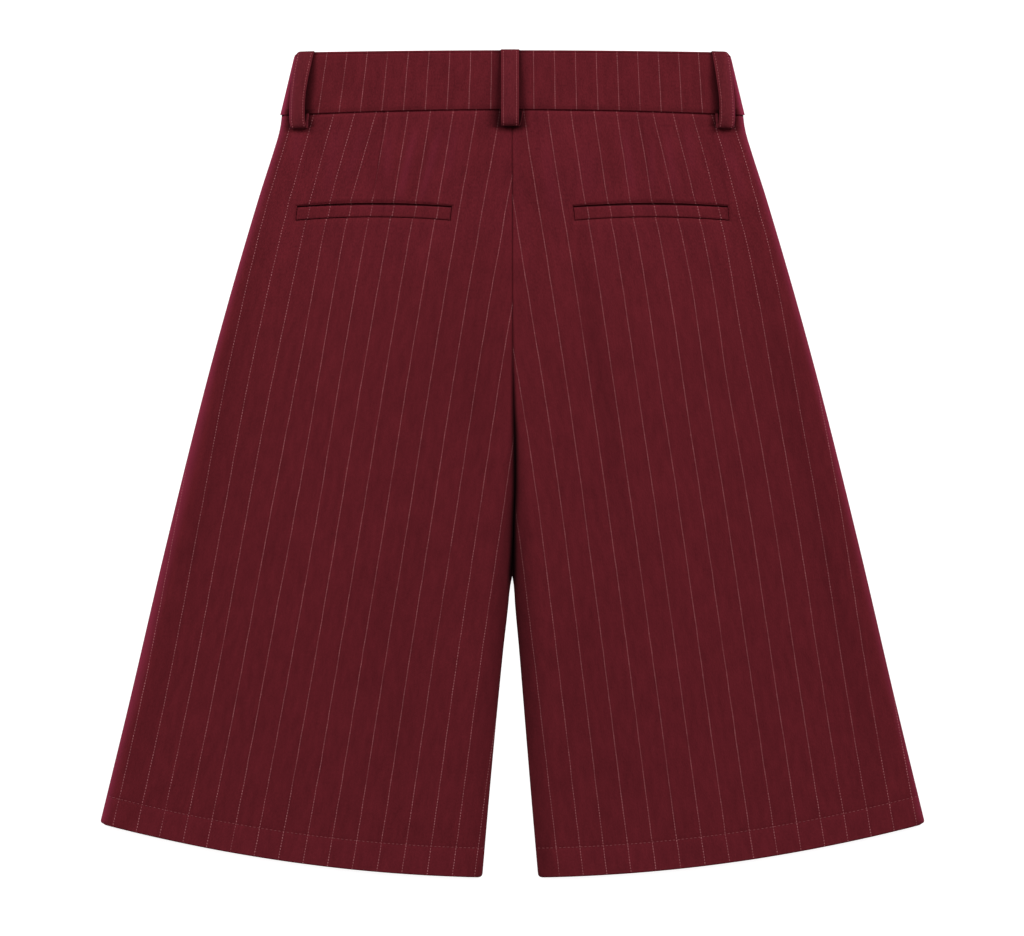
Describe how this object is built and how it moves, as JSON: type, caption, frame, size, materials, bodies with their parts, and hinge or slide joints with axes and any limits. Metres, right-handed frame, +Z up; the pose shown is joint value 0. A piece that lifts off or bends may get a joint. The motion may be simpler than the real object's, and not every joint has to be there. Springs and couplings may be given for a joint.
{
  "type": "bermuda shorts",
  "caption": "Tailored wide-leg bermuda shorts in pinstripe suiting, laid flat with the back up, with a contour waistband, belt loops and welt back pockets.",
  "frame": {"origin": "on the surface the shorts lie on, below the middle of the box around them", "axes": "+Z up from the surface, through the front to the back; +Y from the hems to the waist; +X to the wearer's right side"},
  "size_m": [0.643, 0.6454, 0.0106],
  "materials": {
    "suiting": "matt twill suiting in deep burgundy with a pale broken pinstripe"
  },
  "bodies": {
    "root": {"back_left": "suiting", "back_right": "suiting", "front_left": "suiting", "front_right": "suiting", "waistband_back": "suiting", "waistband_front_left": "suiting", "waistband_front_right": "suiting", "welt_left": "suiting", "welt_right": "suiting", "belt_loop_back_centre": "suiting", "belt_loop_back_left": "suiting", "belt_loop_back_right": "suiting", "belt_loop_front_left": "suiting", "belt_loop_front_right": "suiting"}
  },
  "joints": []
}
